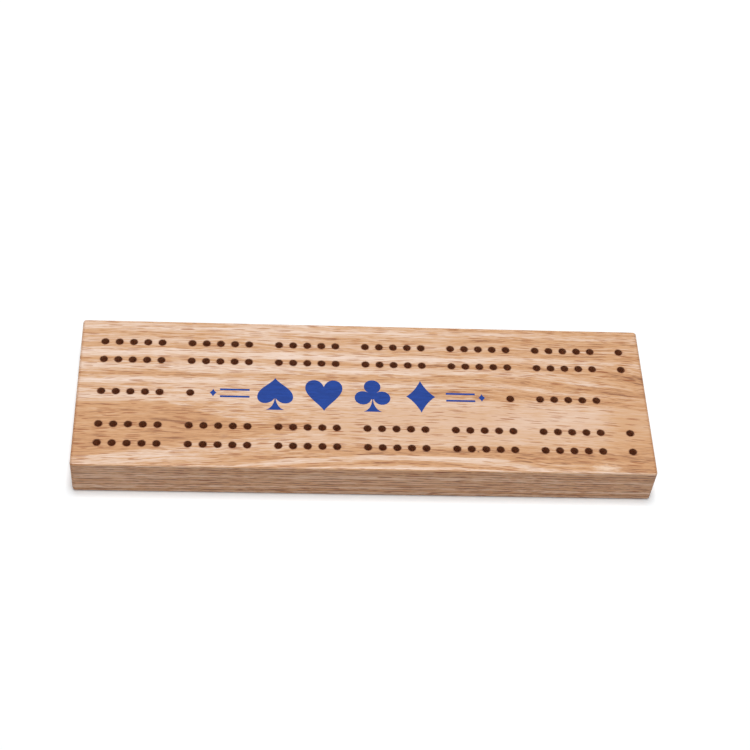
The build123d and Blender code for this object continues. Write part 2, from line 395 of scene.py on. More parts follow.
@dataclass(frozen=True)
class ZoneMask(Effect):
    """Where a long sloping zone lies, from 0 to 1, in the unit of the vector."""

    name = "Zone mask"
    takes = {
        "Middle": Kind.VECTOR,
        "Slope": Kind.VALUE,
        "Half Length": Kind.VALUE,
        "Half Width": Kind.VALUE,
    }
    gives = {"Mask": Kind.VALUE}
    end_fade: Fade = (0.5, 1.0, 1.0, 0.0)
    side_fade: Fade = (0.3, 1.0, 1.0, 0.0)

    def wire(self, g: Graph, given: Wires) -> Wires:
        """Fades the zone out along and across its line.

        Args:
            g: The group's graph.
            given: The place and the zone.

        Returns:
            The mask.
        """
        x, y, _ = g.split(g.vector("SUBTRACT", given["Vector"], given["Middle"]))
        along = abs(x) / given["Half Length"]
        side = abs(y - x * given["Slope"]) / given["Half Width"]
        return {"Mask": g.step(along, *self.end_fade) * g.step(side, *self.side_fade)}


@dataclass(frozen=True)
class Zone:
    """A long soft zone of the top face that is lighter or darker, in millimetres."""

    x: float
    y: float
    slope: float
    half_length: float
    half_width: float
    lift: float

    def mask(self, g: Graph, place: Wire) -> Wire:
        """Gives where the zone lies, from 0 to 1, for a place in millimetres."""
        size = {"Half_Length": self.half_length, "Half_Width": self.half_width}
        return g.effect(ZoneMask(), place, Middle=(self.x, self.y, 0.0), Slope=self.slope, **size)("Mask")


@dataclass(frozen=True)
class Streaks:
    """Crisp streaks: a shifted noise, the fade that sharpens it, and how light they are."""

    shift: Triple
    kind: Ripple
    fade: Fade
    lift: float


@dataclass(frozen=True)
class OakFigure(Effect):
    """Growth rings, rays and pores of flat-sawn red oak. Its sizes are in millimetres.

    The rings lie round a distant pith line along x. bands lists how light the bands are that
    they draw across the top face: where each lies in y, and its lightness, mostly from 0 to 1.
    zones are the places where the board's figure departs from its rings. Lines climb to an
    arch at the front, and fall away at the right end.
    """

    name = "Oak figure"
    takes = {"Contrast": Kind.VALUE}
    gives = {"Color": Kind.COLOUR, "Pores": Kind.VALUE, "Height": Kind.VALUE}
    # The rings and the bands that they draw.
    pith_y: float = -50.0
    pith_z: float = -110.5
    pith_below_top: float = 130.0
    arc_scale: float = 140.0
    cycle: float = 32.0
    bands: tuple[Pair, ...] = (
        (-44.0, 0.50), (-41.2, 0.36), (-39.7, 0.62), (-38.7, 1.04), (-37.4, 0.72), (-36.2, 0.26),
        (-34.8, 0.30), (-33.6, 0.88), (-32.2, 0.88), (-31.0, 0.34), (-28.8, 0.34), (-27.0, 0.52),
        (-25.0, 0.66), (-20.0, 0.64), (-16.0, 0.66), (-8.0, 0.64), (-4.5, 0.80), (-1.0, 0.68),
        (2.4, 0.54), (5.8, 0.94), (8.0, 0.52), (9.8, 0.46), (12.5, 0.90), (15.0, 0.80),
        (18.0, 0.34), (20.0, 0.76), (22.4, 0.96), (25.6, 0.42), (28.5, 0.70), (33.4, 0.54),
        (36.2, 0.88), (39.5, 0.58),
    )
    band_middle: float = 0.66
    band_strength: float = 0.92
    band_change: Ripple = Ripple((46.0, 12.0, 20.0), swing=0.34)
    zones: tuple[Zone, ...] = (
        Zone(-94.0, -36.4, 0.06, 34.0, 4.6, 0.18),
        Zone(90.0, -28.6, 0.015, 56.0, 5.0, -0.10),
        Zone(130.0, -6.0, 0.0, 32.0, 44.0, -0.16),
        Zone(92.0, 10.4, -0.09, 44.0, 5.5, -0.11),
        Zone(70.0, 0.5, -0.03, 50.0, 4.0, -0.14),
        Zone(84.0, -12.0, -0.02, 34.0, 6.5, 0.10),
        Zone(-100.0, 9.3, 0.0, 36.0, 1.4, -0.14),
        Zone(-100.0, 6.4, 0.0, 30.0, 1.1, 0.14),
        Zone(80.0, 34.0, 0.0, 60.0, 9.0, -0.14),
        Zone(96.0, 21.0, -0.02, 44.0, 5.0, -0.08),
        Zone(117.0, -35.6, 0.0, 22.0, 5.0, 0.10),
        Zone(-90.0, 22.0, 0.0, 110.0, 40.0, 0.055),
        Zone(104.0, 3.0, 0.0, 60.0, 16.0, -0.06),
    )
    # The calm zone, and how deep and how torn all zones are.
    quiet: Zone = Zone(60.0, -15.0, -0.01, 100.0, 16.0, 0.62)
    zone_depth: Fade = (8.0, 17.5)
    zone_tear: Ripple = Ripple((22.0, 1.5, 1.0), 3.0, 0.6, 1.5)
    # Where the lines climb to the arch, drop from it and fall away.
    arch_x: float = 18.0
    arch_round: float = 22.0
    arch_strip: Fade = (-6.0, -31.0)
    drop_reach: float = 60.0
    drop_strip: Fade = (-29.5, -39.0)
    fall_x: float = 46.0
    fall_y: float = 7.0
    fall_round: float = 30.0
    fall_slope: Fade = (0.0, 17.0, 0.125, 0.04)
    grain_sweep: Pair = (0.045, 0.0007)
    ring_sweep: Pair = (0.12, 0.0014)
    # How the lines wander.
    sway: Ripple = Ripple((85.0, 30.0, 40.0), 1.0, swing=1.5)
    waver: Ripple = Ripple((26.0, 8.0, 14.0), 1.5, swing=0.40)
    # The broad wedge at the front left.
    wedge_back: Fade = (-92.0, -52.0, -6.0, -15.4)
    wedge_front: Pair = (0.163, -15.4)
    wedge_edge: Fade = (-0.8, 1.3)
    wedge_end: Fade = (-14.0, -40.0)
    wedge_tone: Fade = (-96.0, -66.0, 0.38, 0.31)
    wedge_share: float = 0.92
    wedge_calm: float = 0.30
    # Streaks along the grain.
    soft_streaks: tuple[Ripple, ...] = (
        Ripple((75.0, 16.0, 4.0), swing=0.08),
        Ripple((26.0, 1.25, 0.75), 4.0, 0.72, 0.18),
        Ripple((5.0, 0.50, 0.42), 2.0, 0.6, 0.14),
    )
    crisp_streaks: tuple[Streaks, ...] = (
        Streaks((40.0, 9.0, 5.0), Ripple((28.0, 1.5, 0.9), 2.0, 0.6), (0.55, 0.62), 0.15),
        Streaks((-70.0, 31.0, 15.0), Ripple((20.0, 1.1, 0.7), 3.0, 0.6), (0.55, 0.62), -0.23),
        Streaks((11.0, -5.0, 35.0), Ripple((10.0, 0.55, 0.42), 2.0, 0.6), (0.53, 0.62), -0.25),
    )
    # The close ring lines below the top's bands.
    below: Fade = (0.9, -1.2)
    ring_gap: float = 1.75
    ring_wave: Ripple = Ripple((19.0, 6.0, 3.0), 2.0, 0.6, 0.6)
    ring_rise: Fade = (0.42, 0.80)
    ring_fall: Fade = (0.88, 1.0, 1.0, 0.0)
    ring_breaks: Ripple = Ripple((9.0, 7.0, 0.7), 3.0, 0.7)
    ring_broken: Fade = (0.42, 0.58, 0.10, 1.0)
    ring_lift: float = -0.80
    # Colours.
    middle_tone: float = 0.62
    palette: tuple[tuple[float, Triple], ...] = (
        (0.00, (146, 99, 66)), (0.19, (180, 130, 91)), (0.30, (197, 145, 101)),
        (0.42, (208, 158, 114)), (0.55, (214, 171, 133)), (0.69, (222, 185, 157)),
        (0.80, (228, 197, 173)), (0.90, (233, 205, 184)), (1.00, (238, 212, 195)),
    )
    below_tint: Tint = Tint((255, 241, 227), glaze=True)
    pore_tint: Tint = Tint((188, 138, 94), 0.85, glaze=True)
    # Rays, open pores and fibres.
    rays: Dashes = Dashes((11.0, 0.60, 0.60), (0.25, 0.37), (0.38, 0.68))
    tubes: Dashes = Dashes((7.5, 1.05, 1.05), (0.13, 0.26), (0.2, 0.7), (3.1, 7.7, 1.3), 0.1, 0.75)
    tube_tone: Fade = (0.35, 0.9, 1.0, 0.6)
    drift_x: float = 20.0
    drift_growth: float = 0.00035
    drift_share: float = 0.35
    fibre_rise: float = 0.012
    fibres: Ripple = Ripple((12.0, 0.32, 0.32), 1.0)
    pore_depth: float = 0.8
    fibre_depth: float = 0.2

    def ring_share(self, y: float) -> float:
        """Gives the ramp place of the ring that meets the top face at y mm."""
        radius = math.hypot(y - self.pith_y, self.pith_below_top) - self.pith_below_top
        return radius / self.cycle

    def run(self, g: Graph, past: Wire, corner: float) -> Wire:
        """Gives the distance past a point, with a rounded start."""
        return g.math("SQRT", past * past + corner**2) - corner

    def bend(self, g: Graph, x: Wire, y: Wire, climb: float, drop: float) -> Wire:
        """Gives how far the lines are drawn sideways from straight ones.

        Args:
            g: The group's graph.
            x: The place along the board in millimetres.
            y: The place across it.
            climb: How steeply they climb to the arch from the left.
            drop: How quickly they drop from the arch on the right, per millimetre.

        Returns:
            The shift in millimetres.
        """
        left = g.larger(self.arch_x - x, 0.0)
        arch = self.run(g, left, self.arch_round) * g.step(y, *self.arch_strip, 0.0, climb)
        right = g.hold(x - self.arch_x, 0.0, self.drop_reach)
        front = right * right * g.step(y, *self.drop_strip, 0.0, drop)
        past = g.larger(x - self.fall_x, 0.0)
        slope = g.step(abs(y - self.fall_y), *self.fall_slope)
        return arch + front + self.run(g, past, self.fall_round) * slope

    def polar(self, g: Graph, across: Wire, z: Wire) -> tuple[Wire, Wire]:
        """Gives the place round the pith and out from the rings' zero, in millimetres."""
        out, up = across - self.pith_y, z - self.pith_z
        return g.math("ARCTAN2", out, up) * self.arc_scale, g.length(0.0, out, up) - self.pith_below_top

    def ground(self, g: Graph, point: Wire, grain: Wire, radius: Wire) -> tuple[Wire, Wire]:
        """Gives the lightness of the bands and zones, and how calm the figure is there.

        Args:
            g: The group's graph.
            point: The place in millimetres.
            grain: The place along the board, round its rings and out from them.
            radius: The distance out from the rings' zero.

        Returns:
            The lightness, mostly from 0 to 1, and the calm, from 0 to 1.
        """
        stops = [(self.ring_share(y), (light, light, light, 1.0)) for y, light in self.bands]
        band = g.ramp(g.math("FRACT", radius / self.cycle), stops) - self.band_middle
        change = g.noise(point, self.band_change) + self.band_strength
        tone = band * change + self.band_middle
        x, y, z = g.split(point)
        across = y + g.noise(grain, self.zone_tear)
        torn = g.join(x, across, z)
        shallow = g.step(z, *self.zone_depth)
        for zone in self.zones:
            tone = tone + zone.mask(g, torn) * shallow * zone.lift
        # Broad heart-coloured wedge at the front left, under the top face only.
        slope, start = self.wedge_front
        inside = g.smaller(g.step(x, *self.wedge_back) - across, across - (x * slope + start))
        wedge = g.step(inside, *self.wedge_edge) * shallow * g.step(x, *self.wedge_end)
        tone = g.mix(wedge * self.wedge_share, tone, g.step(x, *self.wedge_tone))
        calm = self.quiet.mask(g, torn) * self.quiet.lift
        return tone, g.larger(calm, wedge * self.wedge_calm)

    def streaks(self, g: Graph, grain: Wire) -> Wire:
        """Draws long soft streaks, crisp pale and tan ones, and fine fibres.

        Args:
            g: The group's graph.
            grain: The place along the board, round its rings and out from them.

        Returns:
            What they add to the lightness.
        """
        broad, *finer = (g.noise(grain, kind) for kind in self.soft_streaks)
        tone = sum(finer, start=broad)
        for streak in self.crisp_streaks:
            drawn = g.noise(g.vector("ADD", grain, streak.shift), streak.kind)
            tone = tone + g.step(drawn, *streak.fade) * streak.lift
        return tone

    def deep_lines(self, g: Graph, grain: Wire, radius: Wire) -> Wire:
        """Draws the fine, close ring lines that lie below the top's bands.

        Args:
            g: The group's graph.
            grain: The place along the board, round its rings and out from them.
            radius: The distance out from the rings' zero.

        Returns:
            What they add to the lightness, which is 0 or less.
        """
        ring = g.math("FRACT", (radius + g.noise(grain, self.ring_wave)) / self.ring_gap)
        line = g.step(ring, *self.ring_rise) * g.step(ring, *self.ring_fall)
        broken = g.step(g.noise(grain, self.ring_breaks), *self.ring_broken)
        return line * broken * self.ring_lift

    def pores(self, g: Graph, fibre: Wire, tone: Wire) -> Wire:
        """Gives how deep in a ray or an open pore the place is, from 0 to 1."""
        tubes = g.dashes(fibre, self.tubes) * g.step(tone, *self.tube_tone)
        return g.larger(g.dashes(fibre, self.rays), tubes)

    def wire(self, g: Graph, given: Wires) -> Wires:
        """Builds the rings, then the streaks, rays and pores that lie in them.

        Args:
            g: The group's graph.
            given: The place and the contrast.

        Returns:
            The colour, the pores and the height.
        """
        point = g.scale(given["Vector"], 1 / MM)
        x, y, z = g.split(point)
        swayed = y + (g.noise(point, self.sway) + g.noise(point, self.waver))
        bend = self.bend(g, x, y, *self.grain_sweep)
        arc, radius = self.polar(g, swayed + bend, z)
        grain = g.join(x, arc, radius)
        _, ring_radius = self.polar(g, swayed + self.bend(g, x, y, *self.ring_sweep), z)
        ground, calm = self.ground(g, point, grain, ring_radius)
        below = g.step(radius, *self.below)
        tone = self.streaks(g, grain) * (1.0 - calm) + ground
        tone = tone + below * self.deep_lines(g, grain, radius)
        lean = (tone - self.middle_tone) * given["Contrast"]
        tone = g.math("ADD", lean, self.middle_tone, clamp=True)
        colour = g.ramp(tone, [(place, srgb(*shade)) for place, shade in self.palette])
        colour = g.tint(below, colour, self.below_tint)
        past = g.larger(x - self.drift_x, 0.0)
        drift = bend * self.drift_share + past * past * self.drift_growth
        pores = self.pores(g, g.join(x, y + drift, z + x * self.fibre_rise), tone)
        colour = g.tint(pores, colour, self.pore_tint)
        height = g.noise(grain, self.fibres) * self.fibre_depth + (1.0 - pores) * self.pore_depth
        return {"Color": colour, "Pores": pores, "Height": height}


@dataclass(frozen=True)
class CloseGrain(Effect):
    """Fine, even grain of a pale wood along the vector's x. Its sizes are in millimetres."""

    name = "Close grain"
    takes = {"Light": Kind.COLOUR, "Dark": Kind.COLOUR, "Ring Width": Kind.VALUE}
    gives = {"Color": Kind.COLOUR, "Height": Kind.VALUE}
    pith: Point = (-31.0, -44.0)
    sway: Ripple = Ripple((46.0, 12.0, 12.0), swing=2.4)
    ring_rise: Fade = (0.55, 0.93)
    ring_fall: Fade = (0.93, 1.0, 1.0, 0.0)
    ring_tone: float = 0.55
    plain_tone: float = 0.12
    streaks: Ripple = Ripple((30.0, 1.2, 1.2), 3.0, 0.6, 0.22)
    clouds: Ripple = Ripple((60.0, 18.0, 18.0), 1.0, swing=0.16)
    flecks: Dashes = Dashes((3.4, 0.34, 0.34), (0.18, 0.34), (0.4, 0.8))
    fleck_tone: float = 0.35
    fleck_depth: float = 0.5
    fibres: Ripple = Ripple((8.0, 0.22, 0.22))

    def wire(self, g: Graph, given: Wires) -> Wires:
        """Builds soft growth lines, flecks and fibres.

        Args:
            g: The group's graph.
            given: The place, the colours and the rings' width.

        Returns:
            The colour and the height.
        """
        point = g.scale(given["Vector"], 1 / MM)
        _, y, z = g.split(point)
        reach = g.length(0.0, y - self.pith[0], z - self.pith[1]) + g.noise(point, self.sway)
        ring = g.math("FRACT", reach / given["Ring Width"])
        line = g.step(ring, *self.ring_rise) * g.step(ring, *self.ring_fall)
        flecks = g.dashes(point, self.flecks)
        tone = line * self.ring_tone + self.plain_tone + flecks * self.fleck_tone
        tone = tone + g.noise(point, self.streaks) + g.noise(point, self.clouds)
        height = g.noise(point, self.fibres) - flecks * self.fleck_depth
        return {"Color": g.blend(tone, given["Light"], given["Dark"]), "Height": height}


@dataclass(frozen=True)
class EdgeWear(Effect):
    """How worn a box-shaped piece is at its edges, from 0 to 1."""

    name = "Edge wear"
    takes = {"Middle": Kind.VECTOR, "Half Size": Kind.VECTOR, "Width": Kind.VALUE}
    gives = {"Wear": Kind.VALUE}
    patches: Ripple = Ripple((0.011, 0.011, 0.011), 3.0, 0.6)
    chips: Ripple = Ripple((0.0016, 0.0016, 0.0016))
    breaks: Fade = (0.85, 1.25, 0.25, 1.0)

    def wire(self, g: Graph, given: Wires) -> Wires:
        """Finds the two nearest of the piece's planes, and breaks up the band along their edge.

        Args:
            g: The group's graph.
            given: The place, the piece's box and the band's width.

        Returns:
            The wear.
        """
        place = given["Vector"]
        away = g.vector("ABSOLUTE", g.vector("SUBTRACT", place, given["Middle"]))
        left = g.vector("MAXIMUM", g.vector("SUBTRACT", given["Half Size"], away), (0, 0, 0))
        x, y, z = g.split(left)
        near = g.smaller(g.smaller(x + y, y + z), x + z)
        edge = g.step(near / given["Width"], 0.0, 1.0, 1.0, 0.0)
        rough = g.noise(place, self.patches) + g.noise(place, self.chips)
        return {"Wear": edge * g.step(rough, *self.breaks)}


@dataclass(frozen=True)
class Handling(Effect):
    """Faint smudges and fine scratches that change a surface's shine."""

    name = "Handling"
    takes = {"Amount": Kind.VALUE}
    gives = {"Smudge": Kind.VALUE, "Scratch": Kind.VALUE}
    clouds: Ripple = Ripple((0.034, 0.026, 0.026), 3.0, 0.55)
    cloud_fade: Fade = (0.38, 0.66)
    sway: Ripple = Ripple((0.02, 0.02, 0.02))
    sway_size: float = 0.004
    hairlines: Dashes = Dashes((0.014, 0.00016, 0.004), (0.10, 0.22), (0.72, 0.9))
    crossing: Dashes = Dashes((0.010, 0.00014, 0.004), (0.10, 0.20), (0.8, 0.95), (5.0, 2.0, 9.0))
    crossing_angle: float = 1.1

    def wire(self, g: Graph, given: Wires) -> Wires:
        """Builds soft smudges and crossing hairlines.

        Args:
            g: The group's graph.
            given: The place and the amount.

        Returns:
            The smudges and the scratches.
        """
        place, amount = given["Vector"], given["Amount"]
        smudge = g.step(g.noise(place, self.clouds), *self.cloud_fade)
        sway = g.noise(place, self.sway) * self.sway_size
        bent = g.vector("ADD", place, g.join(sway, 0.0, 0.0))
        turn = {"Vector": bent, "Angle": self.crossing_angle}
        turned = g.add("VectorRotate", turn, rotation_type="Z_AXIS")
        scratch = g.larger(g.dashes(bent, self.hairlines), g.dashes(turned, self.crossing))
        return {"Smudge": smudge * amount, "Scratch": scratch * amount}


@dataclass(frozen=True)
class Spot(Effect):
    """A soft, ragged spot at one place."""

    name = "Spot"
    takes = {"Middle": Kind.VECTOR, "Half Size": Kind.VECTOR, "Softness": Kind.VALUE}
    gives = {"Mask": Kind.VALUE}
    rim: Ripple = Ripple((0.0022, 0.0009, 0.0009), 3.0, 0.6, 0.35)

    def wire(self, g: Graph, given: Wires) -> Wires:
        """Builds an ellipsoid with a noisy rim.

        Args:
            g: The group's graph.
            given: The place, the spot's box and its softness.

        Returns:
            The mask.
        """
        away = g.vector("SUBTRACT", given["Vector"], given["Middle"])
        reach = g.length(g.vector("DIVIDE", away, given["Half Size"]))
        reach = reach + g.noise(given["Vector"], self.rim)
        return {"Mask": g.step(reach, 1.0 - given["Softness"], 1.0, 1.0, 0.0)}


@dataclass(frozen=True)
class PegHoles(Effect):
    """How far a point is from the nearest peg hole's axis. Its sizes are in millimetres."""

    name = "Peg holes"
    gives = {"Reach": Kind.VALUE}
    first_x: float = -115.8
    pitch: float = 6.35
    in_group: int = 5
    group: float = 38.8
    groups: int = 6
    end_x: float = 116.8
    shift_y: float = -0.4
    pair_y: float = 22.775
    half_pair: float = 5.025
    print_x: float = -6.0
    print_half: float = 68.0
    inner_end_x: float = 110.0
    far: float = 99.0

    def wire(self, g: Graph, given: Wires) -> Wires:
        """Folds the six groups of five, the end holes and the middle row onto one hole.

        Args:
            g: The group's graph.
            given: The place.

        Returns:
            The reach.
        """
        x, y, _ = g.split(g.scale(given["Vector"], 1 / MM))
        along = x - self.first_x
        half_group = (self.in_group - 1) / 2 * self.pitch
        group = g.math("ROUND", (along - half_group) / self.group)
        along = along - g.hold(group, 0.0, self.groups - 1) * self.group
        hole = g.math("ROUND", along / self.pitch)
        along = abs(along - g.hold(hole, 0.0, self.in_group - 1) * self.pitch)
        side = abs(y - self.shift_y)
        pair = abs(side - self.pair_y) - self.half_pair
        outer = g.length(g.smaller(along, abs(x - self.end_x)), pair, 0.0)
        # The middle row has no holes under the print or at the right end.
        blank = g.math("COMPARE", x, self.print_x, self.print_half)
        blank = g.larger(blank, g.math("GREATER_THAN", x, self.inner_end_x))
        return {"Reach": g.smaller(outer, g.length(along, side, blank * self.far))}


@dataclass(frozen=True)
class Tarnish(Effect):
    """Patches and turning lines on small metal parts. Lines run round the vector's x."""

    name = "Tarnish"
    takes = {
        "Bright": Kind.COLOUR,
        "Dull": Kind.COLOUR,
        "Amount": Kind.VALUE,
        "Line Pitch": Kind.VALUE,
    }
    gives = {"Color": Kind.COLOUR, "Roughness": Kind.VALUE, "Height": Kind.VALUE}
    patches: Ripple = Ripple((0.0021, 0.0018, 0.0018), 4.0, 0.62)
    clean_limit: float = 0.72
    limit_drop: float = 0.35
    before: float = 0.12
    after: float = 0.14
    speckle: Ripple = Ripple((0.0004, 0.0004, 0.0004))
    speckle_fade: Fade = (0.55, 0.75)
    speckle_share: float = 0.2
    lines: Ripple = Ripple((1.0, 1.0, 1.0), 2.0, 0.7)
    plain_rough: float = 0.17
    dull_rough: float = 0.30
    line_rough: float = 0.10

    def wire(self, g: Graph, given: Wires) -> Wires:
        """Builds the patches, then the lines that the tool left.

        Args:
            g: The group's graph.
            given: The place, the colours, the amount and the lines' pitch.

        Returns:
            The colour, the roughness and the height.
        """
        place, amount = given["Vector"], given["Amount"]
        limit = self.clean_limit - amount * self.limit_drop
        dull = g.step(g.noise(place, self.patches), limit - self.before, limit + self.after)
        speckle = g.step(g.noise(place, self.speckle), *self.speckle_fade)
        dull = g.math("MULTIPLY", dull + speckle * self.speckle_share, amount, clamp=True)
        along = g.split(place)[0] / given["Line Pitch"]
        lines = g.noise(g.join(along, 0.0, 0.0), self.lines)
        rough = dull * self.dull_rough + self.plain_rough + lines * self.line_rough
        colour = g.blend(dull, given["Bright"], given["Dull"])
        return {"Color": colour, "Roughness": rough, "Height": lines}


# Finishes


@dataclass(frozen=True)
class BoxPiece:
    """The rest box of a piece in metres, for wear along its edges."""

    low: Triple
    high: Triple

    @classmethod
    def of(cls, node: str) -> "BoxPiece":
        """Reads the box of a CAD node."""
        low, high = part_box(node)
        return cls(tuple(low), tuple(high))

    def wear(self, g: Graph, place: Wire, width: float) -> Wire:
        """Gives the wear along the box's edges.

        Args:
            g: The material's graph.
            place: The place in metres.
            width: How wide the worn band is, in metres.

        Returns:
            The wear, from 0 to 1.
        """
        middle = [(a + b) / 2 for a, b in zip(self.low, self.high)]
        half = [(b - a) / 2 for a, b in zip(self.low, self.high)]
        return g.effect(EdgeWear(), place, Middle=middle, Half_Size=half, Width=width)("Wear")


@dataclass(frozen=True)
class Shine:
    """How rough a surface is, and what its grain, smudges and scratches add to that."""

    plain: float
    grain: float
    smudge: float
    scratch: float

    def rough(self, grain: Wire, touch: Callable[[str], Wire]) -> Wire:
        """Gives the roughness, from the grain and the outputs of Handling."""
        rough = grain * self.grain + self.plain
        return rough + touch("Smudge") * self.smudge + touch("Scratch") * self.scratch


@dataclass(frozen=True)
class Finish(ABC):
    """A surface finish that can make its material. Places in it are in metres.

    Where it has a relief, that is how deep a height of 1 is, and how strongly it shows.
    """

    name: str

    def material(self) -> bpy.types.Material:
        """Makes the finish's material.

        Returns:
            The material, with one Principled shader.
        """
        made = bpy.data.materials.new(self.name)
        made.use_nodes = True
        g = Graph(made.node_tree)
        g.add("OutputMaterial", {"Surface": g.add("BsdfPrincipled", self.dress(g))})
        return made

    @abstractmethod
    def dress(self, g: Graph) -> dict[str, Signal]:
        """Lays out the finish.

        Args:
            g: The material's graph.

        Returns:
            What the Principled shader takes, by name.
        """


@dataclass(frozen=True)
class Mark:
    """A small mark in the wood of the top face, in millimetres."""

    x: float
    y: float
    half_size: Triple
    softness: float
    tint: Tint

    def mask(self, g: Graph, place: Wire) -> Wire:
        """Gives where the mark is, for a place in metres."""
        box = {"Middle": (self.x * MM, self.y * MM, TOP), "Half_Size": [s * MM for s in self.half_size]}
        return g.effect(Spot(), place, Softness=self.softness, **box)("Mask")


@dataclass(frozen=True)
class OakFinish(Finish):
    """Clear-coated red oak, with darker rims and painted shade in the peg holes and a raw channel where
    holes is set.
    """

    box: BoxPiece
    holes: bool = False
    marks: tuple[Mark, ...] = ()
    contrast: float = 0.94
    wear_width: float = 0.0011
    worn: Tint = Tint((240, 212, 186), 0.22)
    # The ends: end grain darker with finish, and painted shade on the rounded end edges.
    end_x: Fade = (0.1249, 0.1258)
    end_grain_and_edge_shade: Tint = Tint((204, 178, 158), 0.36, glaze=True)
    end_rough: float = 0.10
    shine: Shine = Shine(0.40, 0.22, 0.07, 0.10)
    gloss: float = 0.42
    scratch_depth: float = 0.12
    relief: Pair = (0.00004, 0.6)
    # The darker rims round the peg holes, their walls in wood darkened partly as painted shade, and their
    # floors, darker still as painted shade.
    rim_reach: Fade = (1.66, 2.22, 1.0, 0.0)
    rim_breaks: Ripple = Ripple((0.0011, 0.0008, 0.0011), 2.0, 0.6, 0.22)
    rim_z: Fade = (0.01940, 0.01948)
    rim_tint: Tint = Tint((150, 104, 74), 0.75, glaze=True)
    bore_reach: Fade = (1.80, 1.74)
    bore_top: Fade = (0.01949, 0.01942)
    bore_low: Fade = (0.0108, 0.0112)
    bore_share: float = 0.93
    # The hole walls' colours: the wood's own, darkened a little as painted shade.
    wall_mottle: Ripple = Ripple((0.0011, 0.0011, 0.0024), 3.0, 0.6)
    wall_wood_and_shade_stops: tuple[tuple[float, Triple], ...] = ((0.3, (178, 117, 79)), (0.7, (226, 163, 119)))
    # Painted shade, darker towards the floor of each hole.
    hole_floor_shade_depth: Fade = (0.0141, 0.0127)
    hole_floor_painted_shade: Tint = Tint((92, 56, 38))
    # The raw wood inside the channel.
    inner_x: Fade = (0.1254, 0.1250)
    inner_y: Fade = (0.0389, 0.0386)
    inner_z: Fade = (0.0108, 0.0104)
    raw: Tint = Tint((236, 228, 216), glaze=True)
    raw_rough: float = 0.74

    def dress(self, g: Graph) -> dict[str, Signal]:
        """Lays wear, marks and singed holes over the figure.

        Args:
            g: The material's graph.

        Returns:
            What the Principled shader takes, by name.
        """
        place = g.place()
        figure = g.effect(OakFigure(), place, Contrast=self.contrast)
        touch = g.effect(Handling(), place, Amount=1.0)
        colour = figure("Color")
        for mark in self.marks:
            colour = g.tint(mark.mask(g, place), colour, mark.tint)
        colour = g.tint(self.box.wear(g, place, self.wear_width), colour, self.worn)
        # End grain drinks more of the finish and looks darker; the tint also paints shade on the rounded
        # end edges.
        ends = g.step(g.split(g.vector("ABSOLUTE", place))[0], *self.end_x)
        colour = g.tint(ends, colour, self.end_grain_and_edge_shade)
        rough = self.shine.rough(figure("Pores"), touch) + ends * self.end_rough
        if self.holes:
            colour, rough = self.paint_hole_shade_and_bare_channel(g, place, colour, rough)
        height = figure("Height") - touch("Scratch") * self.scratch_depth
        return {
            "Base Color": colour,
            "Roughness": rough,
            "Normal": g.bump(height, *self.relief),
            "Specular IOR Level": self.gloss,
        }

    def paint_hole_shade_and_bare_channel(self, g: Graph, place: Wire, colour: Wire, rough: Wire) -> tuple[Wire, Wire]:
        """Darkens the rims of the peg holes, paints shade into their walls and floors, and leaves the
        inside of the channel raw.

        Args:
            g: The material's graph.
            place: The place in metres.
            colour: The colour before.
            rough: The roughness before.

        Returns:
            The colour and the roughness after.
        """
        x, y, z = g.split(g.vector("ABSOLUTE", place))
        reach = g.effect(PegHoles(), place)("Reach")
        rim = g.step(reach + g.noise(place, self.rim_breaks), *self.rim_reach)
        colour = g.tint(rim * g.step(z, *self.rim_z), colour, self.rim_tint)
        bore = g.step(reach, *self.bore_reach) * g.step(z, *self.bore_top)
        bore = bore * g.step(z, *self.bore_low)
        shades = [(share, srgb(*shade)) for share, shade in self.wall_wood_and_shade_stops]
        # The hole walls: the wood's colour, darkened a little as painted shade, and mottled.
        wall_wood_and_shade = g.ramp(g.noise(place, self.wall_mottle), shades)
        # Painted shade, darker towards the floor of each hole.
        wall_wood_and_shade = g.tint(g.step(z, *self.hole_floor_shade_depth), wall_wood_and_shade, self.hole_floor_painted_shade)
        colour = g.blend(bore * self.bore_share, colour, wall_wood_and_shade)
        under = g.step(x, *self.inner_x) * g.step(y, *self.inner_y) * g.step(z, *self.inner_z)
        colour = g.tint(under, colour, self.raw)
        return colour, g.mix(g.larger(bore, under), rough, self.raw_rough)


